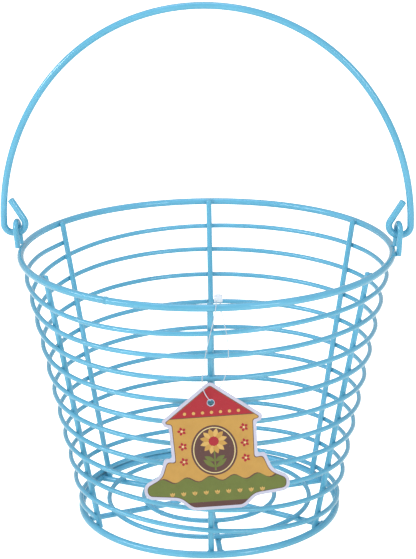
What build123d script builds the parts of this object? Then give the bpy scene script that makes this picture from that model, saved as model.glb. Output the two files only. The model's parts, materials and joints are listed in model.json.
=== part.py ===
from build123d import *
import math
import os

# Egg collection basket of welded, coated wire, in millimetres.
# Origin: centre of the base on the resting plane. +Z is up, the ears and the bail's hinge
# lie over the X axis, and the tag hangs from the front of the rim, towards -Y.

# ---- rings and ribs ----
rim_radius = 133.0          # centreline of the top ring
rim_height = 197.5          # centreline of the top ring above the resting plane
rim_wire = 5.0
base_radius = 94.4          # centreline of the ring that the basket stands on
base_wire = 5.0
rib_wire = 4.2
rib_rise = 2.0              # rib tops end this far above the rim's centreline
# azimuth of each rib's foot and top
rib_azimuths = {"rib_back_right": (32.5, 35.0), "rib_back": (91.0, 92.5),
                "rib_back_left": (151.4, 150.4), "rib_front_left": (210.9, 214.0),
                "rib_front": (274.1, 274.4), "rib_front_right": (331.4, 332.8)}

# ---- coil: one wire wound down the outside of the ribs ----
coil_wire = 3.5
coil_turns = 10.18
coil_start = 149.5          # azimuth of its upper end, on the back left rib
coil_top_drop = 8.2         # under the rim, where the even pitch is counted from
coil_cap_drop = 14.2        # its upper end starts level this far under the rim
coil_foot_drop = 3.846      # the even pitch runs on this far under its lower end, which lies level
coil_sway = 6.66            # unevenness within a turn
coil_sway_fade = 4.915      # turn at which the sway dies out and changes sides
coil_twice_share = 0.33     # share of the sway that comes twice a turn
coil_twice_lag = 51.0
coil_lift = 3.4             # the coil rides up at the back left, most of all at this turn
coil_lift_turn = 2.4
coil_lift_lag = 15.0
coil_easing = 2.0           # how softly the level ends run into the slope
coil_bends_per_turn = 24
coil_lengths = ("coil_top", "coil_upper", "coil_middle", "coil_lower", "coil_foot")  # butted end to end

# ---- floor: three spokes crossing at a slightly raised middle, and two rings on them ----
floor_wire = 3.5
floor_ring_radii = {"floor_ring_outer": 74.2, "floor_ring_inner": 48.4}
spoke_wire = 4.2
# azimuths of both ends; the second spoke is cranked over the first and the third over both
spoke_azimuths = {"floor_spoke_lower": (-81.8, 98.2),
                  "floor_spoke_middle": (-25.6, 154.4),
                  "floor_spoke_upper": (-157.3, 26.5)}
floor_rise = 3.3            # the middle of the floor stands this much over its edge
crank_outer = 26.0          # from here outwards a cranked spoke runs straight
crank_inner = 7.0
spoke_bend = 14.0

# ---- ears: hand-set staples, leaning outwards, their back legs turned inwards ----
ear_wire = 4.0
ear_spread = 11.0           # between the two legs' centrelines
ear_height = 20.6           # top of the ear's centreline over the rim's
right_ear_turn = 13.0
right_ear_lean = 3.0
right_ear_foot_drop = 1.6   # its front leg ends this far under the rim's centreline, outside it
left_ear_turn = 4.0
left_ear_lean = 5.0
left_ear_stand = 1.7        # both its legs stand on the rim, this far outside its centreline

# ---- bail: crown, flatter shoulders and a closed hook at each end ----
bail_wire = 5.0
bail_overhang = 12.5        # leg centreline at the hook, outside the rim's centreline
bail_rise = 164.3           # top of the crown's centreline over the hinge, with the bail upright
crown_inset = 4.5           # the crown's radius is this much less than the bail's half width
shoulder_angle = 35.0       # elevation at which the crown runs into the shoulder
hinge_rise = 12.2           # centreline of the straight bottoms of both hooks, over the rim's
hook_width = 15.4           # leg centreline to the inner side of the hook
hook_flat = 2.0             # straight stretch at the bottom of the hook
hook_lean = 58.0            # slope of the cut end as it rises back towards the leg
hook_tip = 16.5             # straight length of the cut end

# ---- tag: a plumb card on a thread that is looped round the rim and locked ----
tag_azimuth = -85.8         # where on the rim it hangs
tag_thickness = 0.8
tag_hole = 4.6              # diameter
tag_drop = 66.2             # the hole's centre under the rim's centreline
tag_slack = 0.3             # between the thread and the edge of the hole
tag_tilt = 3.5              # the card hangs a little askew
tag_peak = 15.3             # from the hole's centre up to the peak
# half width and height of each corner from the hole's centre, from the eaves to the bottom edge
tag_corners = [(34.2, -11.2), (32.2, -15.2), (29.4, -15.8), (28.8, -38.6), (33.6, -37.6),
               (38.2, -50.4), (49.6, -56.4), (48.4, -66.4), (26.0, -69.0), (17.6, -77.0)]
tag_rounding = 9.0          # largest corner radius
tag_peak_rounding = 4.5     # at the peak
thread = 0.6
thread_stand = 2.1          # thread centreline in front of and behind the card
lock_size = (5.6, 4.4, 5.0)
lock_place = (5.8, 3.4)     # its middle along the rim, and behind the rim's centreline
lock_gap = 0.6              # between the lock and the top of the rim

touch = 0.05                # welded wires sink this far into each other
bend_share = 0.45           # a bend takes this much of the shorter run beside it

# ---- worked out from the dimensions above ----
base_height = base_wire / 2
bail_half_width = rim_radius + bail_overhang
crown_radius = bail_half_width - crown_inset
hinge_height = rim_height + hinge_rise
bail_top = hinge_height + bail_rise
tag_hole_height = rim_height - tag_drop
coil_foot_height = base_height + (base_wire + coil_wire) / 2
coil_top = rim_height - coil_top_drop
coil_cap = rim_height - coil_cap_drop
coil_pitch = (coil_top - coil_foot_height + coil_foot_drop) / coil_turns


def around(radius, azimuth, height):
    angle = math.radians(azimuth)
    return Vector(radius * math.cos(angle), radius * math.sin(angle), height)


def ring(radius, wire, height):
    return Pos(0, 0, height) * Torus(radius, wire / 2)


def wire_along(path, wire):
    section = Plane(origin=path @ 0, z_dir=path % 0) * Circle(wire / 2)
    return sweep(section, path=path)


def straight_wire(start, end, wire):
    along = end - start
    rod = Solid.make_cylinder(wire / 2, along.length, Plane(origin=start, z_dir=along))
    return rod.fillet(wire * 0.15, rod.edges().filter_by(GeomType.CIRCLE))


def wall_line():
    """Lowest and highest point of a rib's centreline in its own upright plane, and its lean."""
    rise = rim_height - base_height
    run = rim_radius - base_radius
    rim_offset = (rim_wire + rib_wire) / 2 - touch
    base_offset = (base_wire + rib_wire) / 2 - touch
    lean = math.atan2(run, rise) - math.asin((rim_offset - base_offset) / math.hypot(run, rise))
    foot_radius = base_radius - base_offset / math.cos(lean) - base_height * math.tan(lean)
    return foot_radius, lean


foot_radius, wall_lean = wall_line()


def rib_radius_at(height):
    return foot_radius + height * math.tan(wall_lean)


def rib(foot_azimuth, top_azimuth):
    foot_height = rib_wire / 2 * math.sin(wall_lean)
    top_height = rim_height + rib_rise
    foot = around(rib_radius_at(foot_height), foot_azimuth, foot_height)
    top = around(rib_radius_at(top_height), top_azimuth, top_height)
    return straight_wire(foot, top, rib_wire)


def soft_min(a, b, easing):
    return (a + b - math.hypot(a - b, easing)) / 2


def soft_max(a, b, easing):
    return (a + b + math.hypot(a - b, easing)) / 2


def coil_height(turn):
    once = math.tau * turn
    twice = coil_twice_share * math.sin(2 * once - math.radians(coil_twice_lag))
    sway = coil_sway * (1 - turn / coil_sway_fade) * (math.sin(once) + twice)
    back_left = (1 + math.cos(once + math.radians(coil_lift_lag))) / 2
    lift = coil_lift * math.exp(-(turn - coil_lift_turn) ** 2) * back_left ** 3
    height = soft_min(coil_top - coil_pitch * turn - sway + lift, coil_cap, coil_easing)
    return soft_max(height, coil_foot_height, coil_easing)


def coil_corners():
    """Corners whose bends run along the outside of the ribs, from the upper end down."""
    count = math.ceil(coil_turns * coil_bends_per_turn)
    half_bend = math.pi * coil_turns / count
    standoff = ((rib_wire + coil_wire) / 2 - touch) / math.cos(wall_lean)
    corners = []
    for index in range(count + 1):
        turn = index * coil_turns / count
        height = coil_height(turn)
        inner = rib_radius_at(height) + standoff
        reach = 1 if index in (0, count) else 1 / math.cos(half_bend)
        corners.append(around(inner * reach, coil_start + 360 * turn, height))
    return corners


def bend_radii(points):
    """The largest arcs that neighbouring runs leave room for, one for each inner point."""
    radii = []
    for before, corner, after in zip(points, points[1:], points[2:]):
        shorter = min((corner - before).length, (after - corner).length)
        turn = (corner - before).get_angle(after - corner)
        radii.append(bend_share * shorter / math.tan(math.radians(turn / 2)))
    return radii


def coil():
    """The coil's lengths of wire from the top down, which meet square in the middle of a straight run."""
    corners = coil_corners()
    radii = bend_radii(corners)
    bends = corners[1:-1]
    cuts = [round(index * len(bends) / len(coil_lengths)) for index in range(1, len(coil_lengths))]
    joints = [corners[0]] + [(bends[cut - 1] + bends[cut]) / 2 for cut in cuts] + [corners[-1]]
    for start, end, first, last in zip(joints, joints[1:], [0] + cuts, cuts + [len(bends)]):
        path = FilletPolyline(start, *bends[first:last], end, radius=radii[first:last])
        yield wire_along(path, coil_wire)


# ---- floor ----
spoke_reach = base_radius - base_wire / 2


def floor_height(radius):
    """Centreline height of a spoke where it runs straight from the base ring inwards."""
    return base_height + floor_rise * (1 - radius / spoke_reach)


def spoke(near, far, level):
    """A straight wire bent once in the middle, or cranked over the wires below it."""
    start = around(spoke_reach, near, floor_height(spoke_reach))
    end = around(spoke_reach, far, floor_height(spoke_reach))
    crossing = floor_height(0) + level * (spoke_wire - touch)
    middle = [Vector(0, 0, crossing)]
    if level:
        middle = [around(crank_outer, near, floor_height(crank_outer)),
                  around(crank_inner, near, crossing),
                  around(crank_inner, far, crossing),
                  around(crank_outer, far, floor_height(crank_outer))]
    return wire_along(FilletPolyline(start, *middle, end, radius=spoke_bend), spoke_wire)


def floor_ring(radius):
    slope = math.atan2(floor_rise, spoke_reach)
    stand = ((spoke_wire + floor_wire) / 2 - touch) / math.cos(slope)
    return ring(radius, floor_wire, floor_height(radius) + stand)


# ---- ears ----
def ear(stand, turn, lean, front_foot):
    """A staple over +X; its middle passes the rim at radius stand and its foot ends at front_foot."""
    bend = ear_spread / 2
    seat = rim_wire / 2 - touch
    side = Plane(origin=(0, 0, 0), x_dir=(0, 1, 0), z_dir=(1, 0, 0))
    front_leg = Line((-bend, front_foot), (-bend, ear_height - bend))
    arch = ThreePointArc((-bend, ear_height - bend), (0, ear_height), (bend, ear_height - bend))
    back_leg = Line((bend, ear_height - bend), (bend, seat))
    staple = wire_along(side * Wire([front_leg, arch, back_leg]), ear_wire)
    return Pos(stand, 0, rim_height) * Rot(0, 0, turn) * Rot(0, lean, 0) * staple


def right_ear():
    """Its front leg is welded to the outside of the rim and its back leg stands on the rim."""
    turn = math.radians(right_ear_turn)
    bend = ear_spread / 2
    outside = rim_radius + (rim_wire + ear_wire) / 2 - touch
    stand = math.sqrt(outside ** 2 - (bend * math.cos(turn)) ** 2) - bend * math.sin(turn)
    return ear(stand, right_ear_turn, right_ear_lean, -right_ear_foot_drop)


def left_ear():
    """Both of its legs stand on the rim."""
    upright = ear(rim_radius + left_ear_stand, left_ear_turn, left_ear_lean, rim_wire / 2 - touch)
    return mirror(upright, about=Plane.YZ)


# ---- bail ----
def bail_half():
    """Right half of the bail's centreline, from the top of the crown to the cut end."""
    shoulder = math.radians(shoulder_angle)
    outward = Vector(math.cos(shoulder), math.sin(shoulder))
    widening = (bail_half_width - crown_radius) / (1 - math.cos(shoulder))
    crown_centre = Vector(0, bail_top - crown_radius)
    shoulder_centre = crown_centre - outward * widening
    shoulder_radius = crown_radius + widening
    leg_top = shoulder_centre + Vector(shoulder_radius, 0)

    bend = (hook_width - hook_flat) / 2
    outer_centre = Vector(bail_half_width - bend, hinge_height + bend)
    inner_centre = outer_centre - Vector(hook_flat, 0)
    lean = math.radians(hook_lean)
    tip_start = inner_centre + Vector(-math.sin(lean), math.cos(lean)) * bend
    tip_end = tip_start + Vector(math.cos(lean), math.sin(lean)) * hook_tip
    return [CenterArc(crown_centre, crown_radius, 90, shoulder_angle - 90),
            CenterArc(shoulder_centre, shoulder_radius, shoulder_angle, -shoulder_angle),
            Line(leg_top, outer_centre + Vector(bend, 0)),
            CenterArc(outer_centre, bend, 0, -90),
            Line(outer_centre - Vector(0, bend), inner_centre - Vector(0, bend)),
            CenterArc(inner_centre, bend, -90, hook_lean - 180),
            Line(tip_start, tip_end)]


def bail():
    front = Plane(origin=(0, 0, 0), x_dir=(1, 0, 0), z_dir=(0, -1, 0))
    half = wire_along(front * Wire(bail_half()), bail_wire)
    return half + mirror(half, about=Plane.YZ)


# ---- tag ----
# Its pieces are drawn with X along the rim, Y back from the rim's centreline and true Z,
# and then turned to their place on the rim.
hang_height = tag_hole_height + (tag_hole - thread) / 2 - tag_slack
lock_low = rim_height + rim_wire / 2 + lock_gap
lock_front = lock_place[1] - lock_size[1] / 2


def on_rim(piece):
    return Rot(0, 0, tag_azimuth + 90) * Pos(0, -rim_radius, 0) * piece


def tag_card():
    left_side = [(-x, y) for x, y in reversed(tag_corners)]
    corners = [Vector(0, tag_peak)] + [Vector(x, y) for x, y in tag_corners + left_side]
    limits = [tag_peak_rounding] + [tag_rounding] * (len(corners) - 1)
    radii = [min(pair) for pair in zip(bend_radii([corners[-1], *corners, corners[0]]), limits)]
    outline = FilletPolyline(*corners, radius=radii, close=True)
    card = extrude(make_face(outline) - Circle(tag_hole / 2), tag_thickness / 2, both=True)
    facing = Plane(origin=(0, 0, hang_height), x_dir=(1, 0, 0), z_dir=(0, -1, 0))
    return on_rim(facing * Rot(0, 0, tag_tilt) * Pos(0, tag_hole_height - hang_height) * card)


def thread_route():
    """Corner points from the lock, behind and under the rim, through the card and back."""
    behind, front = thread_stand, -thread_stand
    fall = rim_height - hang_height
    hanging = [(9.6, -0.6, 0.163), (11.8, 0.3, 0.349), (12.4, 1.0, 0.612), (8.8, 1.9, 0.814),
               (3.6, behind, 0.938), (0, behind, 1.0), (0, front, 1.0), (-3.4, front, 0.935),
               (-6.0, -2.3, 0.814), (-4.6, -2.5, 0.612), (-1.6, -2.8, 0.38), (1.6, -3.0, 0.178)]
    under = rim_height - rim_wire / 2 - thread
    knot = lock_low + lock_size[2] / 4
    return ([(7.0, lock_place[1], lock_low), (7.0, lock_place[1], under), (8.2, -1.0, under - thread)]
            + [(x, y, rim_height - fall * share) for x, y, share in hanging]
            + [(3.4, -3.5, under), (4.4, -3.4, knot), (4.4, lock_front, knot)])


def tag_thread():
    route = [Vector(*corner) for corner in thread_route()]
    radii = bend_radii(route)
    path = FilletPolyline(*route, radius=radii)
    print("thread length", round(path.length, 1), "bend radii", [round(r, 1) for r in radii])
    return on_rim(wire_along(path, thread))


def tag_lock():
    width, depth, height = lock_size
    block = Pos(lock_place[0], lock_place[1], lock_low + height / 2) * Box(width, depth, height)
    return on_rim(fillet(block.edges().filter_by(Axis.Z), 1.2))


def save(shape, name):
    shape.label = name
    export_step(shape, f"parts/{name}.step")


os.makedirs("parts", exist_ok=True)
save(ring(rim_radius, rim_wire, rim_height), "rim_ring")
save(ring(base_radius, base_wire, base_height), "base_ring")
for name, azimuths in rib_azimuths.items():
    save(rib(*azimuths), name)
for name, length in zip(coil_lengths, coil()):
    save(length, name)
for level, (name, azimuths) in enumerate(spoke_azimuths.items()):
    save(spoke(*azimuths, level), name)
for name, radius in floor_ring_radii.items():
    save(floor_ring(radius), name)
save(right_ear(), "ear_right")
save(left_ear(), "ear_left")
save(bail(), "bail_handle")
save(tag_card(), "hang_tag")
save(tag_thread(), "tag_loop")
save(tag_lock(), "tag_lock")
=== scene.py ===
import json
import math
import random
import bpy
import bmesh
import numpy as np
from mathutils import Matrix, Vector
from mathutils.bvhtree import BVHTree


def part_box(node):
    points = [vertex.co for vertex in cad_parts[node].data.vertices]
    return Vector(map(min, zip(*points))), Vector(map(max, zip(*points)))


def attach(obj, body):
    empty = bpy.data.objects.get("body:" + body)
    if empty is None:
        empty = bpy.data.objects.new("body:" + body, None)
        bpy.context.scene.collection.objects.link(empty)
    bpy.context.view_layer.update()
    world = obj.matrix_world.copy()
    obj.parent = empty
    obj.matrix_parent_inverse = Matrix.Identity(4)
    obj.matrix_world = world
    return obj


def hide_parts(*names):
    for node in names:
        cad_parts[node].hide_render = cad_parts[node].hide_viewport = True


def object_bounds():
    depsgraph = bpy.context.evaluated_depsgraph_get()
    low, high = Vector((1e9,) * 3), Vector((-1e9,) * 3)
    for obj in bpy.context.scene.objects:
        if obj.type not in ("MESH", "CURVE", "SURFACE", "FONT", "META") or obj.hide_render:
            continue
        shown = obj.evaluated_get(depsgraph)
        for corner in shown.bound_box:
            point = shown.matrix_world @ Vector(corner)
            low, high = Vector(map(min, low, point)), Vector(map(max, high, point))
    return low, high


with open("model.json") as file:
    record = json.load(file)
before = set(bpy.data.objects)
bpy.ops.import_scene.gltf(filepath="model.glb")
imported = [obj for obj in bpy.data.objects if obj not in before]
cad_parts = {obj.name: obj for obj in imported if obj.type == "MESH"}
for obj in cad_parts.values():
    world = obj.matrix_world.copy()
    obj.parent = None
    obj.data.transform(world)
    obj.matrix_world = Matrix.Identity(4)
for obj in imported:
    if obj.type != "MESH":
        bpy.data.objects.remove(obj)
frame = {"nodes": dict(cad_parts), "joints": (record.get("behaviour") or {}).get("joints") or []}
nodes = frame["nodes"]
joints = {joint["name"]: joint for joint in frame["joints"]}
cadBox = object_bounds()
mm = 0.001
print("frame loaded:", len(nodes), "solids")


# camera
viewpoint = {
    "place": (0.0859, -1.4050, 0.6175),
    "turn": 3.463,          # degrees, to the left of straight ahead
    "downTilt": 17.44,
    "roll": -0.624,
    "lens": 131.87,
}


def addCamera(values):
    data = bpy.data.cameras.new("camera")
    data.lens = values["lens"]
    data.sensor_width = 36
    data.clip_start = 0.05
    camera = bpy.data.objects.new("camera", data)
    bpy.context.scene.collection.objects.link(camera)
    heading = Matrix.Rotation(math.radians(values["turn"]), 4, "Z")
    tilt = Matrix.Rotation(math.radians(90 - values["downTilt"]), 4, "X")
    roll = Matrix.Rotation(math.radians(values["roll"]), 4, "Z")
    camera.matrix_world = Matrix.Translation(values["place"]) @ heading @ tilt @ roll
    bpy.context.scene.camera = camera


addCamera(viewpoint)
print("camera placed")


# shared shader groups
def newGroup(name, inputs, outputs):
    group = bpy.data.node_groups.new(name, "ShaderNodeTree")
    for label, kind, value in inputs:
        socket = group.interface.new_socket(label, in_out="INPUT", socket_type="NodeSocket" + kind)
        socket.default_value = value
    for label, kind in outputs:
        group.interface.new_socket(label, in_out="OUTPUT", socket_type="NodeSocket" + kind)
    entry = group.nodes.new("NodeGroupInput")
    leave = group.nodes.new("NodeGroupOutput")
    return group, entry, leave


def addNode(tree, kind, **settings):
    node = tree.nodes.new("ShaderNode" + kind)
    for key, value in settings.items():
        setattr(node, key, value)
    return node


def addNoise(tree, scale, detail=2.0, roughness=0.5):
    place = addNode(tree, "TexCoord")
    noise = addNode(tree, "TexNoise")
    tree.links.new(place.outputs["Object"], noise.inputs["Vector"])
    noise.inputs["Detail"].default_value = detail
    noise.inputs["Roughness"].default_value = roughness
    if isinstance(scale, bpy.types.NodeSocket):
        tree.links.new(scale, noise.inputs["Scale"])
    else:
        noise.inputs["Scale"].default_value = scale
    return noise.outputs["Fac"]


def addMath(tree, operation, first, second):
    node = addNode(tree, "Math", operation=operation)
    for socket, value in zip(node.inputs, (first, second)):
        if isinstance(value, bpy.types.NodeSocket):
            tree.links.new(value, socket)
        else:
            socket.default_value = value
    return node.outputs[0]


def addSpread(tree, value, low, high, toLow, toHigh):
    node = addNode(tree, "MapRange", interpolation_type="SMOOTHSTEP")
    tree.links.new(value, node.inputs["Value"])
    for label, level in (("From Min", low), ("From Max", high), ("To Min", toLow), ("To Max", toHigh)):
        if isinstance(level, bpy.types.NodeSocket):
            tree.links.new(level, node.inputs[label])
        else:
            node.inputs[label].default_value = level
    return node.outputs["Result"]


def addMix(tree, share, first, second, blend="MIX"):
    node = addNode(tree, "Mix", data_type="RGBA", blend_type=blend)
    for label, value in ((0, share), (6, first), (7, second)):
        if isinstance(value, bpy.types.NodeSocket):
            tree.links.new(value, node.inputs[label])
        else:
            node.inputs[label].default_value = value
    return node.outputs[2]


def makeCoatGroup():
    # dipped or sprayed plastic: slow drifts of tone, fine orange peel and a few dull rubbed patches
    inputs = [("Tone", "Color", (0.1, 0.4, 0.7, 1)), ("Deep Tone", "Color", (0.05, 0.3, 0.6, 1)),
              ("Patch Scale", "Float", 18.0), ("Peel Scale", "Float", 900.0),
              ("Gloss Roughness", "Float", 0.25), ("Rubbed Roughness", "Float", 0.4)]
    outputs = [("Color", "Color"), ("Roughness", "Float"), ("Height", "Float")]
    group, entry, leave = newGroup("plasticCoat", inputs, outputs)
    drift = addSpread(group, addNoise(group, entry.outputs["Patch Scale"], 3.0), 0.3, 0.72, 0.0, 1.0)
    rubbed = addSpread(group, addNoise(group, 75.0, 4.0, 0.6), 0.5, 0.75, 0.0, 1.0)
    peel = addNoise(group, entry.outputs["Peel Scale"], 1.5)
    colour = addMix(group, drift, entry.outputs["Tone"], entry.outputs["Deep Tone"])
    gloss, dull = entry.outputs["Gloss Roughness"], entry.outputs["Rubbed Roughness"]
    rough = addSpread(group, rubbed, 0.0, 1.0, gloss, dull)
    group.links.new(colour, leave.inputs["Color"])
    group.links.new(rough, leave.inputs["Roughness"])
    group.links.new(peel, leave.inputs["Height"])
    return group


def makeCardGroup():
    # printed board: fibre flecks, a faint press mottle and a soft tooth
    inputs = [("Ink", "Color", (0.8, 0.6, 0.3, 1)), ("Mottle", "Float", 0.25),
              ("Fibre Scale", "Float", 600.0)]
    outputs = [("Color", "Color"), ("Roughness", "Float"), ("Height", "Float")]
    group, entry, leave = newGroup("printedBoard", inputs, outputs)
    mottle = addSpread(group, addNoise(group, 140.0, 5.0, 0.65), 0.35, 0.7, 0.0, 1.0)
    fibre = addNoise(group, entry.outputs["Fibre Scale"], 6.0, 0.7)
    darker = addMix(group, 1.0, entry.outputs["Ink"], (0.72, 0.68, 0.66, 1), "MULTIPLY")
    share = addMath(group, "MULTIPLY", mottle, entry.outputs["Mottle"])
    colour = addMix(group, share, entry.outputs["Ink"], darker)
    flecks = addSpread(group, fibre, 0.62, 0.75, 0.0, 0.12)
    colour = addMix(group, flecks, colour, (0.9, 0.88, 0.84, 1))
    group.links.new(colour, leave.inputs["Color"])
    group.links.new(addSpread(group, fibre, 0.3, 0.7, 0.5, 0.68), leave.inputs["Roughness"])
    group.links.new(fibre, leave.inputs["Height"])
    return group


coatGroup = makeCoatGroup()
cardGroup = makeCardGroup()


def rgb(red, green, blue):
    # from 0-255 screen values to linear light
    levels = [value / 255 for value in (red, green, blue)]
    return tuple(v / 12.92 if v <= 0.04045 else ((v + 0.055) / 1.055) ** 2.4 for v in levels) + (1.0,)


def newMaterial(name, group, settings, bumpStrength, bumpDistance, sockets):
    material = bpy.data.materials.new(name)
    material.use_nodes = True
    tree = material.node_tree
    shader = tree.nodes["Principled BSDF"]
    finish = addNode(tree, "Group", node_tree=group)
    for label, value in settings.items():
        finish.inputs[label].default_value = value
    tree.links.new(finish.outputs["Color"], shader.inputs["Base Color"])
    tree.links.new(finish.outputs["Roughness"], shader.inputs["Roughness"])
    bump = addNode(tree, "Bump")
    bump.inputs["Strength"].default_value = bumpStrength
    bump.inputs["Distance"].default_value = bumpDistance
    tree.links.new(finish.outputs["Height"], bump.inputs["Height"])
    tree.links.new(bump.outputs["Normal"], shader.inputs["Normal"])
    for label, value in sockets.items():
        shader.inputs[label].default_value = value
    return material


# coated wire
wireCoat = {
    "tone": (109, 190, 219),
    "deepTone": (96, 179, 207),
    # painted shade: the darker teal-grey painted onto the wire's edges
    "paintedEdgeShadeTone": (72, 150, 172),
    "paintedEdgeShadeShare": 0.6,       # painted shade: how far the wire's colour is darkened where it is seen at a slant, standing in for its shaded sides
    "gloss": 0.26,
    "rubbed": 0.36,
    "clear": 1.0,
}


def makeWireMaterial(name, values, shade=1.0):
    tone = rgb(*(level * shade for level in values["tone"]))
    deep = rgb(*(level * shade for level in values["deepTone"]))
    settings = {"Tone": tone, "Deep Tone": deep, "Gloss Roughness": values["gloss"],
                "Rubbed Roughness": values["rubbed"]}
    sockets = {"Coat Weight": values["clear"], "Coat Roughness": 0.04, "IOR": 1.4, "Coat IOR": 1.45}
    material = newMaterial(name, coatGroup, settings, 0.05, 0.0002, sockets)
    tree = material.node_tree
    base = tree.nodes["Principled BSDF"].inputs["Base Color"]
    # painted shade: the base colour is mixed towards a darker teal where the wire is seen at a slant,
    # standing in for its shaded sides
    paintedShadeSlant = addNode(tree, "LayerWeight")
    paintedShadeSlant.inputs["Blend"].default_value = 0.5
    share = addSpread(tree, paintedShadeSlant.outputs["Facing"], 0.2, 0.85, 0.0, values["paintedEdgeShadeShare"])
    tree.links.new(addMix(tree, share, base.links[0].from_socket, rgb(*values["paintedEdgeShadeTone"])), base)
    return material


wireMaterial = makeWireMaterial("blueCoat", wireCoat)
beadMaterial = makeWireMaterial("blueCoatPooled", wireCoat, 0.96)


def dress(names, material):
    for name in names:
        mesh = nodes[name].data
        mesh.materials.clear()
        mesh.materials.append(material)
        mesh.polygons.foreach_set("material_index", [0] * len(mesh.polygons))


wireNodes = [name for name in nodes if name not in ("hang_tag", "tag_loop", "tag_lock")]
wireRadii = {"ring": 2.5, "rib": 2.1, "spoke": 2.1, "ear": 2.0, "coil": 1.75, "floorRing": 1.75}  # mm
dress(wireNodes, wireMaterial)
print("wire coated:", len(wireNodes), "wires")


# mesh helpers
def finishMesh(name, mesh, material, body):
    piece = bpy.data.objects.new(name, mesh)
    bpy.context.scene.collection.objects.link(piece)
    if material:
        mesh.materials.append(material)
    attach(piece, body)
    return piece


def meshFrom(build, name):
    shape = bmesh.new()
    build(shape)
    # beads and seams are dressed flush where the basket rests
    for vertex in shape.verts:
        vertex.co.z = max(vertex.co.z, cadBox[0][2])
    bmesh.ops.recalc_face_normals(shape, faces=shape.faces)
    mesh = bpy.data.meshes.new(name)
    shape.to_mesh(mesh)
    shape.free()
    for polygon in mesh.polygons:
        polygon.use_smooth = True
    return mesh


def joinRows(shape, rows):
    # four-sided faces between the rows of a tube
    for first, second in zip(rows, rows[1:]):
        for side in range(len(first)):
            after = (side + 1) % len(first)
            shape.faces.new((first[side], first[after], second[after], second[side]))


def meshArrays(name):
    mesh = nodes[name].data
    mesh.calc_loop_triangles()
    points = np.zeros(len(mesh.vertices) * 3)
    mesh.vertices.foreach_get("co", points)
    triangles = np.zeros(len(mesh.loop_triangles) * 3, dtype=np.int64)
    mesh.loop_triangles.foreach_get("vertices", triangles)
    return points.reshape(-1, 3), triangles.reshape(-1, 3)


arrays = {name: meshArrays(name) for name in wireNodes}
trees = {}


def treeOf(name):
    if name not in trees:
        points, triangles = arrays[name]
        trees[name] = BVHTree.FromPolygons(points.tolist(), triangles.tolist())
    return trees[name]


# weld beads: coating pooled where two wires meet
weldBeads = {
    "reach": 0.35,          # mm, how close two wires must be to count as welded
    "spacing": 5.0,         # mm, contacts closer than this are one
    "height": 0.42,         # half height of a bead, as a share of the thinner wire's radius
    "width": 1.12,          # half width, as a share of the thinner wire's radius
    "unevenness": 0.14,
    "margin": 1.0,          # mm, how far round the other wire contacts are looked for
    "segments": (14, 8),
    "seed": 11,
}


def contactPoints(dense, other, values):
    # where the finely meshed wire meets the other: a point on each contact and the direction across it
    low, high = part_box(other)
    margin = values["margin"] * mm
    points = arrays[dense][0]
    near = points[((points > np.array(low) - margin) & (points < np.array(high) + margin)).all(axis=1)]
    tree = treeOf(other)
    groups = []
    for point in near:
        place, normal, _, distance = tree.find_nearest(Vector(point), values["reach"] * mm)
        if place is None:
            continue
        for group in groups:
            if (group["middle"] - place).length < values["spacing"] * mm:
                group["members"].append((distance, place, normal))
                break
        else:
            groups.append({"middle": place.copy(), "members": [(distance, place, normal)]})
    contacts = []
    for group in groups:
        members = sorted(group["members"], key=lambda member: member[0])
        nearest = members[:max(3, len(members) // 4)]
        place = sum((member[1] for member in nearest), Vector()) / len(nearest)
        normal = sum((member[2] for member in nearest), Vector()).normalized()
        contacts.append((place, normal))
    return contacts


def addBead(shape, place, normal, radius, values, chance):
    spin = Matrix.Rotation(chance.uniform(0, math.pi), 4, "Z")
    wide = radius * values["width"] * (1 + chance.uniform(-1, 1) * values["unevenness"])
    long = radius * values["width"] * (1 + chance.uniform(-1, 1) * values["unevenness"])
    tall = radius * values["height"]
    size = Matrix.Diagonal((wide, long, tall, 1))
    turn = normal.to_track_quat("Z", "Y").to_matrix().to_4x4()
    matrix = Matrix.Translation(place) @ turn @ spin @ size
    around, along = values["segments"]
    bmesh.ops.create_uvsphere(shape, u_segments=around, v_segments=along, radius=1.0, matrix=matrix)


def addWeldBeads(values):
    chance = random.Random(values["seed"])
    ribs = [name for name in wireNodes if name.startswith("rib_")]
    spokes = [name for name in wireNodes if name.startswith("floor_spoke")]
    coils = [name for name in wireNodes if name.startswith("coil_")]
    floorRings = ("floor_ring_outer", "floor_ring_inner")
    # each pair with the thinner of its two wires
    pairs = [(coil, rib, "coil") for coil in coils for rib in ribs]
    pairs += [(ring, rib, "rib") for ring in ("rim_ring", "base_ring") for rib in ribs]
    pairs += [(ring, spoke, "floorRing") for ring in floorRings for spoke in spokes]
    pairs += [("base_ring", spoke, "spoke") for spoke in spokes]
    pairs += [("rim_ring", ear, "ear") for ear in ("ear_left", "ear_right")]
    contacts = []
    for dense, other, thinner in pairs:
        radius = wireRadii[thinner] * mm
        contacts += [(*contact, radius) for contact in contactPoints(dense, other, values)]

    def build(shape):
        for place, normal, radius in contacts:
            addBead(shape, place, normal, radius, values, chance)

    finishMesh("weld_beads", meshFrom(build, "weld_beads"), beadMaterial, "basket")
    print("weld beads:", len(contacts))


addWeldBeads(weldBeads)


# coated wire ends: the coating leaves a rounded cap on every cut end
endCaps = {
    "rise": 0.38,           # height of a cap, as a share of the wire's radius
    "overlap": 0.1,         # mm, how far it reaches back into the wire
    "fit": 0.985,           # its width, as a share of the wire's
    "rings": 5,
    "sides": 20,
    "smallest": 2.5,        # square mm, the least and greatest area of a cut end
    "greatest": 21.0,
    "roundness": 0.12,      # how far a cut end may be from a true circle
    "butted": 0.2,          # mm, ends closer than this butt against each other
}


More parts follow.
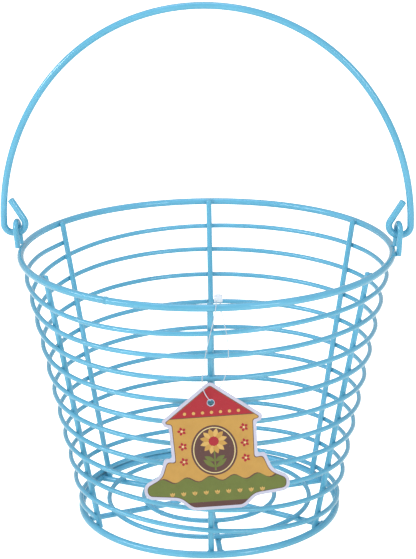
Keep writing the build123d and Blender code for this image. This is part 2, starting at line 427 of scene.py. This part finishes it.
def cutEnds(name, values):
    # flat discs among a wire's faces: middle, outward direction and radius of each
    points, triangles = arrays[name]
    corners = points[triangles]
    cross = np.cross(corners[:, 1] - corners[:, 0], corners[:, 2] - corners[:, 0])
    area = np.linalg.norm(cross, axis=1) / 2
    normals = cross / np.maximum(area[:, None] * 2, 1e-15)
    offsets = (normals * corners[:, 0]).sum(axis=1)
    keys = np.round(np.hstack([normals * 500, offsets[:, None] * 20000])).astype(int)
    labels = np.unique(keys, axis=0, return_inverse=True)[1].ravel()
    totals = np.bincount(labels, weights=area)
    ends = []
    fits = (totals > values["smallest"] * mm * mm) & (totals < values["greatest"] * mm * mm)
    for label in np.where(fits)[0]:
        members = labels == label
        middle = (corners[members].mean(axis=1) * area[members][:, None]).sum(axis=0) / totals[label]
        spread = np.linalg.norm(corners[members].reshape(-1, 3) - middle, axis=1).max()
        if abs(math.pi * spread ** 2 / totals[label] - 1) < values["roundness"]:
            ends.append((Vector(middle), Vector(normals[members][0]), spread))
    return ends


def addCap(shape, middle, normal, radius, values):
    turn = normal.to_track_quat("Z", "Y").to_matrix().to_4x4()
    matrix = Matrix.Translation(middle - normal * values["overlap"] * mm) @ turn
    sides = values["sides"]
    height = values["overlap"] * mm + radius * values["rise"]
    rows = []
    for ring in range(values["rings"]):
        angle = math.pi / 2 * ring / values["rings"]
        wide = radius * values["fit"] * math.cos(angle)
        high = height * math.sin(angle)
        row = [shape.verts.new(matrix @ Vector((wide * math.cos(t), wide * math.sin(t), high)))
               for t in (math.tau * side / sides for side in range(sides))]
        rows.append(row)
    top = shape.verts.new(matrix @ Vector((0, 0, height)))
    joinRows(shape, rows)
    for side in range(sides):
        shape.faces.new((rows[-1][side], rows[-1][(side + 1) % sides], top))
    shape.faces.new(list(reversed(rows[0])))


def addEndCaps(pieceName, names, body, values):
    found = [end for name in names for end in cutEnds(name, values)]
    butted = values["butted"] * mm
    # an end that butts against another wire's has no cap
    ends = [end for end in found if sum((end[0] - other[0]).length < butted for other in found) == 1]

    def build(shape):
        for middle, normal, radius in ends:
            addCap(shape, middle, normal, radius, values)

    finishMesh(pieceName, meshFrom(build, pieceName), wireMaterial, body)
    print(pieceName + ":", len(ends))


addEndCaps("wire_end_caps", [name for name in wireNodes if name != "bail_handle"], "basket", endCaps)
addEndCaps("bail_end_caps", ["bail_handle"], "bail", endCaps)


# ring seams: each ring is one wire, butt welded where its ends meet
# azimuths in degrees, swell and length in mm
ringSeams = {
    "rim_ring": {"azimuth": 243.0, "wire": "ring", "swell": 0.34, "length": 4.2},
    "base_ring": {"azimuth": 120.0, "wire": "ring", "swell": 0.30, "length": 4.0},
    "floor_ring_outer": {"azimuth": 62.0, "wire": "floorRing", "swell": 0.24, "length": 3.2},
    "floor_ring_inner": {"azimuth": 228.0, "wire": "floorRing", "swell": 0.24, "length": 3.2},
}
seamForm = {"steps": 14, "sides": 20, "ripple": 0.35, "ripples": 9, "skin": 0.004}


def addRingSeam(shape, ring, values):
    low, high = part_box(ring)
    bare = wireRadii[values["wire"]]
    radius = (high.x - low.x) / 2 - bare * mm
    level = (high.z + low.z) / 2
    steps, sides = seamForm["steps"], seamForm["sides"]
    rows = []
    for step in range(steps + 1):
        along = step / steps * 2 - 1
        ripple = 1 + seamForm["ripple"] * math.sin(along * seamForm["ripples"])
        swell = values["swell"] * (math.cos(along * math.pi) + 1) / 2 * ripple
        wire = (bare + swell + seamForm["skin"]) * mm
        angle = math.radians(values["azimuth"]) + along * values["length"] * mm / 2 / radius
        outward = Vector((math.cos(angle), math.sin(angle), 0))
        middle = outward * radius + Vector((0, 0, level))
        row = [middle + outward * wire * math.cos(t) + Vector((0, 0, wire * math.sin(t)))
               for t in (math.tau * side / sides for side in range(sides))]
        rows.append([shape.verts.new(place) for place in row])
    joinRows(shape, rows)
    shape.faces.new(list(reversed(rows[0])))
    shape.faces.new(rows[-1])


def addRingSeams(seams):
    def build(shape):
        for ring, values in seams.items():
            addRingSeam(shape, ring, values)

    finishMesh("ring_seams", meshFrom(build, "ring_seams"), beadMaterial, "basket")
    print("ring seams:", len(seams))


addRingSeams(ringSeams)


# tag thread
threadLoop = {
    "thickness": 0.6,       # mm
    "tone": (212, 217, 222),
    "deepTone": (192, 199, 206),
    "gloss": 0.18,
    "rubbed": 0.3,
}
# corner points in metres: along the rim, back from its centreline, and height
threadRoute = [
    (0.0070, 0.0034, 0.2006), (0.0070, 0.0034, 0.1944), (0.0082, -0.0010, 0.1938),
    (0.0096, -0.0006, 0.18699), (0.0118, 0.0003, 0.17499), (0.0124, 0.0010, 0.15803),
    (0.0088, 0.0019, 0.1450), (0.0036, 0.0021, 0.1370), (0, 0.0021, 0.1330), (0, -0.0021, 0.1330),
    (-0.0034, -0.0021, 0.13719), (-0.0060, -0.0023, 0.1450), (-0.0046, -0.0025, 0.15803),
    (-0.0016, -0.0028, 0.17299), (0.0016, -0.0030, 0.18602), (0.0034, -0.0035, 0.1944),
    (0.0044, -0.0034, 0.20185), (0.0044, 0.0012, 0.20185),
]
rimHook = Vector(joints["tag_swing"]["pos_m"])
holeTop = Vector(joints["tag_rock"]["pos_m"])
tagBack = Vector(joints["tag_rock"]["axis"]).normalized()
tagAcross = tagBack.cross(Vector((0, 0, 1)))
onRim = Matrix((tagAcross, tagBack, (0, 0, 1))).transposed().to_4x4()
onRim.translation = (rimHook.x, rimHook.y, 0)


def makeThreadMaterial(values):
    settings = {"Tone": rgb(*values["tone"]), "Deep Tone": rgb(*values["deepTone"]),
                "Gloss Roughness": values["gloss"], "Rubbed Roughness": values["rubbed"]}
    sockets = {"Subsurface Weight": 0.15, "Subsurface Scale": 0.0005, "IOR": 1.53}
    return newMaterial("nylonThread", coatGroup, settings, 0.05, 0.00005, sockets)


def addThread(route, values):
    data = bpy.data.curves.new("tag_thread_line", "CURVE")
    data.dimensions = "3D"
    data.bevel_depth = values["thickness"] * mm / 2
    data.bevel_resolution = 3
    data.resolution_u = 12
    data.use_fill_caps = True
    line = data.splines.new("NURBS")
    line.points.add(len(route) - 1)
    for point, corner in zip(line.points, route):
        point.co = (*(onRim @ Vector(corner)), 1)
    line.order_u = 3
    line.use_endpoint_u = True
    data.materials.append(makeThreadMaterial(values))
    thread = bpy.data.objects.new("tag_thread_line", data)
    bpy.context.scene.collection.objects.link(thread)
    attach(thread, "tag_hanger")
    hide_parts("tag_loop")
    return thread


thread = addThread(threadRoute, threadLoop)
print("thread strung")


# tag lock
lockBlock = {
    "size": (5.6, 4.4, 5.0),            # mm, as the bevels and the neck
    "bevel": 0.55,
    "neck": 0.75,
    "neckShare": (0.62, 0.6),           # the neck's width and depth, as shares of the body's
    "lugShare": (0.16, 0.12, 0.7),      # size of the two lugs on its back, as shares of the body's
    "lugPlace": (0.3, 0.43),
    "lugBevel": 0.12,
    "tone": (238, 240, 243),
    "deepTone": (226, 229, 234),
    "gloss": 0.3,
    "rubbed": 0.42,
}


def addLock(values):
    low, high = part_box("tag_lock")
    middle = (low + high) / 2
    size = Vector(values["size"]) * mm
    turn = onRim.to_3x3().to_4x4()
    matrix = Matrix.Translation(middle) @ turn

    def addBlock(shape, offset, extent, bevel):
        made = bmesh.ops.create_cube(shape, size=1.0)
        bmesh.ops.transform(shape, verts=made["verts"],
                            matrix=matrix @ Matrix.Translation(offset) @ Matrix.Diagonal((*extent, 1)))
        edges = {edge for vertex in made["verts"] for edge in vertex.link_edges}
        bmesh.ops.bevel(shape, geom=list(edges), offset=bevel * mm, segments=3, profile=0.6,
                        affect="EDGES")

    def build(shape):
        neck = values["neck"] * mm
        wide, deep = values["neckShare"]
        body = Vector((size.x, size.y, size.z - neck))
        core = Vector((size.x * wide, size.y * deep, size.z - neck * 1.2))
        lug = Vector([length * share for length, share in zip(size, values["lugShare"])])
        across, back = values["lugPlace"]
        addBlock(shape, Vector((0, 0, -neck / 2)), body, values["bevel"])
        addBlock(shape, Vector((0, 0, neck * 0.6)), core, values["bevel"])
        for side in (-1, 1):
            addBlock(shape, Vector((side * size.x * across, -size.y * back, 0)), lug, values["lugBevel"])

    settings = {"Tone": rgb(*values["tone"]), "Deep Tone": rgb(*values["deepTone"]),
                "Gloss Roughness": values["gloss"], "Rubbed Roughness": values["rubbed"]}
    material = newMaterial("whitePlastic", coatGroup, settings, 0.08, 0.0001, {"IOR": 1.5})
    lock = finishMesh("tag_lock_body", meshFrom(build, "tag_lock_body"), material, "tag_hanger")
    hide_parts("tag_lock")
    return lock


lock = addLock(lockBlock)
print("thread locked")


# tag print: thin ink layers on both faces of the card
tagPrint = {
    "tilt": 3.5,            # degrees
    "hole": 4.6,            # mm, as all the lengths below
    "holeLow": 1.7,         # hole's centre under the hanging point
    "holeMargin": 0.35,     # bare board round the hole
    "thickness": 0.8,
    "ink": 0.014,           # each layer of ink
    "margin": 2.2,          # bare board left round the design
    "keyline": 0.45,        # dark line round the design
}
inks = {"board": (210, 205, 220), "ochre": (208, 156, 74), "red": (180, 32, 44), "brown": (98, 62, 54),
        "olive": (112, 120, 50), "cream": (240, 214, 150), "honey": (226, 178, 96)}
# right half of the card's outline round the hole, from its peak down
cardOutline = [(0, 15.3), (34.2, -11.2), (32.2, -15.2), (29.4, -15.8), (28.8, -38.6), (33.6, -37.6),
               (38.2, -50.4), (49.6, -56.4), (48.4, -66.4), (26.0, -69.0), (17.6, -77.0)]
cardRounding = {"peak": 4.5, "others": 9.0}
bendSteps = 5               # straight lengths in each rounded corner


def makeInk(name):
    settings = {"Ink": rgb(*inks[name])}
    return newMaterial("ink_" + name if name != "board" else "greyBoard", cardGroup, settings, 0.15, 0.00005,
                       {"IOR": 1.45, "Coat Weight": 0.1, "Coat Roughness": 0.4})


inkMaterials = {name: makeInk(name) for name in inks}
dress(["hang_tag"], inkMaterials["board"])


def mirrored(points):
    return list(points) + [(-x, y) for x, y in reversed(points) if x > 0]


def startAt(points, index):
    return points[index:] + points[:index]


def insetOutline(points, margin):
    # moves every side of a clockwise outline inwards
    moved = []
    for before, corner, after in zip(startAt(points, -1), points, startAt(points, 1)):
        first = (Vector(corner) - Vector(before)).normalized()
        second = (Vector(after) - Vector(corner)).normalized()
        inward = Vector((first.y, -first.x))
        bisector = (inward + Vector((second.y, -second.x))).normalized()
        moved.append(tuple(Vector(corner) + bisector * margin / bisector.dot(inward)))
    return moved


def roundOutline(points, margin):
    # a clockwise outline with the arcs that the card's own corners have after moving inwards
    rounded = []
    for before, corner, after in zip(startAt(points, -1), points, startAt(points, 1)):
        arrive = Vector(corner) - Vector(before)
        depart = Vector(after) - Vector(corner)
        outer = arrive.x * depart.y < arrive.y * depart.x
        radius = cardRounding["peak" if corner is points[0] else "others"] - (margin if outer else -margin)
        reach = min(radius * math.tan(arrive.angle(depart) / 2), 0.45 * min(arrive.length, depart.length))
        first = Vector(corner) - arrive.normalized() * reach
        last = Vector(corner) + depart.normalized() * reach
        for step in range(bendSteps + 1):
            share = step / bendSteps
            point = first.lerp(Vector(corner), share).lerp(Vector(corner).lerp(last, share), share)
            rounded.append(tuple(point))
    return rounded


def clipBelow(points, level):
    # the part of an outline under a level line
    kept = []
    for (x1, y1), (x2, y2) in zip(points, startAt(points, 1)):
        if y1 <= level:
            kept.append((x1, y1))
        if (y1 <= level) != (y2 <= level):
            share = (level - y1) / (y2 - y1)
            kept.append((x1 + (x2 - x1) * share, level))
    return kept


def clipAbove(points, level):
    return [(x, -y) for x, y in clipBelow([(x, -y) for x, y in points], -level)]


def clipRight(points):
    return [(x, y) for y, x in clipAbove([(y, x) for x, y in points], 0)]


def oval(x, y, wide, high, count=28):
    angles = [math.tau * index / count for index in range(count)]
    return [(x + wide * math.cos(angle), y + high * math.sin(angle)) for angle in angles]


def leaf(x, y, length, width, lean, count=9):
    turn = math.radians(lean)
    side = [(length * index / count, width / 2 * math.sin(math.pi * index / count))
            for index in range(count + 1)]
    outline = side + [(u, -v) for u, v in reversed(side[1:-1])]
    return [(x + u * math.cos(turn) - v * math.sin(turn), y + u * math.sin(turn) + v * math.cos(turn))
            for u, v in outline]


def aroundHole(points, radius):
    # an outline that is the same on both sides, as two halves with a round hole between them
    right = clipRight(points)
    top = max(range(len(right)), key=lambda index: (right[index][0] < 1e-6, right[index][1]))
    right = startAt(right, top)
    edge = [point for point in oval(0, 0, radius, radius) if point[0] > -1e-6]
    right += sorted(edge, key=lambda point: point[1])
    return [right, [(-x, y) for x, y in reversed(right)]]


def wavyFoot(points, level, rise, crests):
    # the part of an outline under a wavy line
    low = clipBelow(points, level)
    first = max(range(len(low)), key=lambda index: (abs(low[index][1] - level) < 1e-6, low[index][0]))
    low = startAt(low, first)
    left = low[-1][0]
    width = low[0][0] - left
    steps = 8 * crests
    shares = [index / steps for index in range(1, steps)]
    return low + [(left + width * share, level + rise * math.sin(math.tau * crests * share))
                  for share in shares]


def flowerShapes(x, y, values):
    # petals in two tones round a plain middle
    shapes = []
    count = values["petals"]
    for index in range(count):
        angle = 360 * (index + 0.5) / count
        root = values["middle"] * 0.7
        start = (x + root * math.cos(math.radians(angle)), y + root * math.sin(math.radians(angle)))
        petal = leaf(*start, values["length"], values["width"], angle)
        shapes.append((values["inks"][index % 2], 8 + index % 2, petal))
    shapes.append((values["middleInk"], 10, oval(x, y, values["middle"], values["middle"], 24)))
    return shapes


sunflower = {"petals": 12, "middle": 3.4, "length": 7.0, "width": 3.4, "inks": ("honey", "ochre"),
             "middleInk": "red"}
sprig = {"petals": 5, "middle": 0.8, "length": 2.6, "width": 1.9, "inks": ("red", "red"),
         "middleInk": "cream"}


def designShapes(values):
    # (ink, layer, outline), from the board up
    card = mirrored(cardOutline)
    margins = [values["margin"] + values["keyline"] * share for share in (0, 1, 1.2)]
    edge, field, gable = (roundOutline(insetOutline(card, margin), margin) for margin in margins)
    shapes = [("brown", 1, edge), ("ochre", 2, field)]
    shapes += [("brown", 3, clipAbove(gable, -10.0)), ("red", 4, clipAbove(gable, -9.5))]
    shapes += [("honey", 5, oval((index - 3) * 6.0, -6.8, 1.1, 1.1, 14)) for index in range(7)]
    shapes += [("brown", 3, wavyFoot(field, -54.0, 1.8, 5)), ("olive", 4, wavyFoot(field, -54.6, 1.8, 5))]
    shapes += [("brown", 5, clipBelow(field, -71.0))]
    shapes += [(ink, 5 + index, oval(0, -34.0, 15.5 - size, 18.0 - size, 48))
               for index, (ink, size) in enumerate((("brown", 0), ("cream", 1.3), ("brown", 2.0)))]
    shapes += [("olive", 8, [(-0.6, -48.5), (-0.5, -32.0), (0.5, -32.0), (0.6, -48.5)])]
    for low, length, lean in ((-46.5, 10.0, 38), (-42.0, 8.0, 30)):
        shapes += [("olive", 8, leaf(0, low, length, 3.2, turn)) for turn in (lean, 180 - lean)]
    shapes += flowerShapes(0, -27.5, sunflower)
    for side in (-1, 1):
        for row in range(3):
            shapes += flowerShapes(side * 20.8, -19.0 - row * 11.0, sprig)
    for index in range(9):
        x = (index - 4) * 7.6
        shapes += [("honey", 6, leaf(x, -66.0, 3.4, 1.2, 90 + lean)) for lean in (-28, 0, 28)]
    return shapes


def addPatch(shape, outline, bottom, top, materialIndex):
    lower = [shape.verts.new((x, y, bottom)) for x, y in outline]
    upper = [shape.verts.new((x, y, top)) for x, y in outline]
    faces = [shape.faces.new(upper), shape.faces.new(list(reversed(lower)))]
    for first, second in zip(zip(lower, upper), startAt(list(zip(lower, upper)), 1)):
        faces.append(shape.faces.new((first[0], second[0], second[1], first[1])))
    for face in faces:
        face.material_index = materialIndex


def addPrint(values):
    inkNames = [name for name in inks if name != "board"]
    holeRadius = values["hole"] / 2 + values["holeMargin"]
    place = onRim.to_3x3().to_4x4()
    place.translation = holeTop
    stand = Matrix.Rotation(math.pi / 2, 4, "X")
    tilt = Matrix.Rotation(math.radians(values["tilt"]), 4, "Z")
    drop = Matrix.Translation((0, -values["holeLow"] * mm, 0))
    card = place @ stand @ tilt @ drop @ Matrix.Diagonal((mm, mm, mm, 1))
    shape = bmesh.new()
    for side in (Matrix.Identity(4), Matrix.Rotation(math.pi, 4, "Y")):
        known = set(shape.verts)
        for inkName, layer, outline in designShapes(values):
            holed = layer <= 4 and max(y for x, y in outline) > holeRadius
            for part in (aroundHole(outline, holeRadius) if holed else [outline]):
                face = values["thickness"] / 2
                addPatch(shape, part, face - 0.02, face + values["ink"] * layer, inkNames.index(inkName))
        fresh = [vertex for vertex in shape.verts if vertex not in known]
        bmesh.ops.transform(shape, verts=fresh, matrix=card @ side)
    bmesh.ops.triangulate(shape, faces=[face for face in shape.faces if len(face.verts) > 4])
    bmesh.ops.recalc_face_normals(shape, faces=shape.faces)
    mesh = bpy.data.meshes.new("tag_print")
    shape.to_mesh(mesh)
    shape.free()
    for name in inkNames:
        mesh.materials.append(inkMaterials[name])
    finishMesh("tag_print", mesh, None, "tag_board")


addPrint(tagPrint)
print("tag printed")


# floor and light
studio = {
    "floorTone": (236, 237, 232),
    "floorSize": 7.0,       # metres from the middle to each side
    "floorDrop": 0.0002,    # keeps it clear of the wires' undersides
    "floorGlow": 0.75,      # seen by the camera only, so that a white floor doesn't light the wires
    "floorFill": 0.36,      # the light that a lit sweep throws back up at the wires
    "floorWarmth": (1.0, 1.0, 0.97),
    "skyLow": (0.76, 0.82, 0.78),
    "skyHigh": (0.84, 0.92, 1.06),
    "skyStrength": 0.69,
}
softboxes = [
    {"name": "overhead", "place": (-0.15, 0.0, 1.7), "aim": (0, 0, 0.15), "size": (1.0, 0.8), "power": 4,
     "tone": (0.80, 0.90, 1.10)},
    {"name": "front_left", "place": (-2.0, -0.9, 1.3), "aim": (0, 0, 0.2), "size": (1.7, 0.3), "power": 22,
     "tone": (0.90, 0.96, 1.0)},
    {"name": "front_right", "place": (1.3, -1.7, 0.9), "aim": (0, 0, 0.2), "size": (0.6, 0.6), "power": 8,
     "tone": (0.90, 0.96, 1.0)},
]


def addFloor(values):
    shape = bmesh.new()
    bmesh.ops.create_grid(shape, x_segments=2, y_segments=2, size=values["floorSize"])
    mesh = bpy.data.meshes.new("studio_floor")
    shape.to_mesh(mesh)
    shape.free()
    floor = bpy.data.objects.new("studio_floor", mesh)
    floor.location.z = -values["floorDrop"]
    bpy.context.scene.collection.objects.link(floor)
    settings = {"Ink": rgb(*values["floorTone"]), "Mottle": 0.0, "Fibre Scale": 30.0}
    material = newMaterial("paleFloor", cardGroup, settings, 0.0, 0.001, {"Specular IOR Level": 0.0})
    tree = material.node_tree
    shader = tree.nodes["Principled BSDF"]
    ray = addNode(tree, "LightPath")
    glow = addMath(tree, "MULTIPLY", ray.outputs["Is Camera Ray"], values["floorGlow"])
    glow = addMath(tree, "ADD", glow, values["floorFill"])
    shader.inputs["Emission Color"].default_value = (*values["floorWarmth"], 1)
    tree.links.new(glow, shader.inputs["Emission Strength"])
    mesh.materials.append(material)


def addSky(values):
    world = bpy.data.worlds.new("studio")
    world.use_nodes = True
    tree = world.node_tree
    background = tree.nodes["Background"]
    place = addNode(tree, "TexCoord")
    split = addNode(tree, "SeparateXYZ")
    tree.links.new(place.outputs["Generated"], split.inputs[0])
    height = addSpread(tree, split.outputs["Z"], -0.2, 0.8, 0.0, 1.0)
    colour = addMix(tree, height, (*values["skyLow"], 1), (*values["skyHigh"], 1))
    tree.links.new(colour, background.inputs["Color"])
    background.inputs["Strength"].default_value = values["skyStrength"]
    bpy.context.scene.world = world


def addSoftbox(values):
    data = bpy.data.lights.new(values["name"], "AREA")
    data.shape = "RECTANGLE"
    data.size, data.size_y = values["size"]
    data.energy = values["power"]
    data.color = values["tone"]
    lamp = bpy.data.objects.new(values["name"], data)
    bpy.context.scene.collection.objects.link(lamp)
    lamp.location = values["place"]
    aim = Vector(values["aim"]) - Vector(values["place"])
    lamp.rotation_euler = aim.to_track_quat("-Z", "Y").to_euler()


addFloor(studio)
addSky(studio)
for softbox in softboxes:
    addSoftbox(softbox)
bpy.context.scene.view_settings.view_transform = "Standard"
print("studio lit")
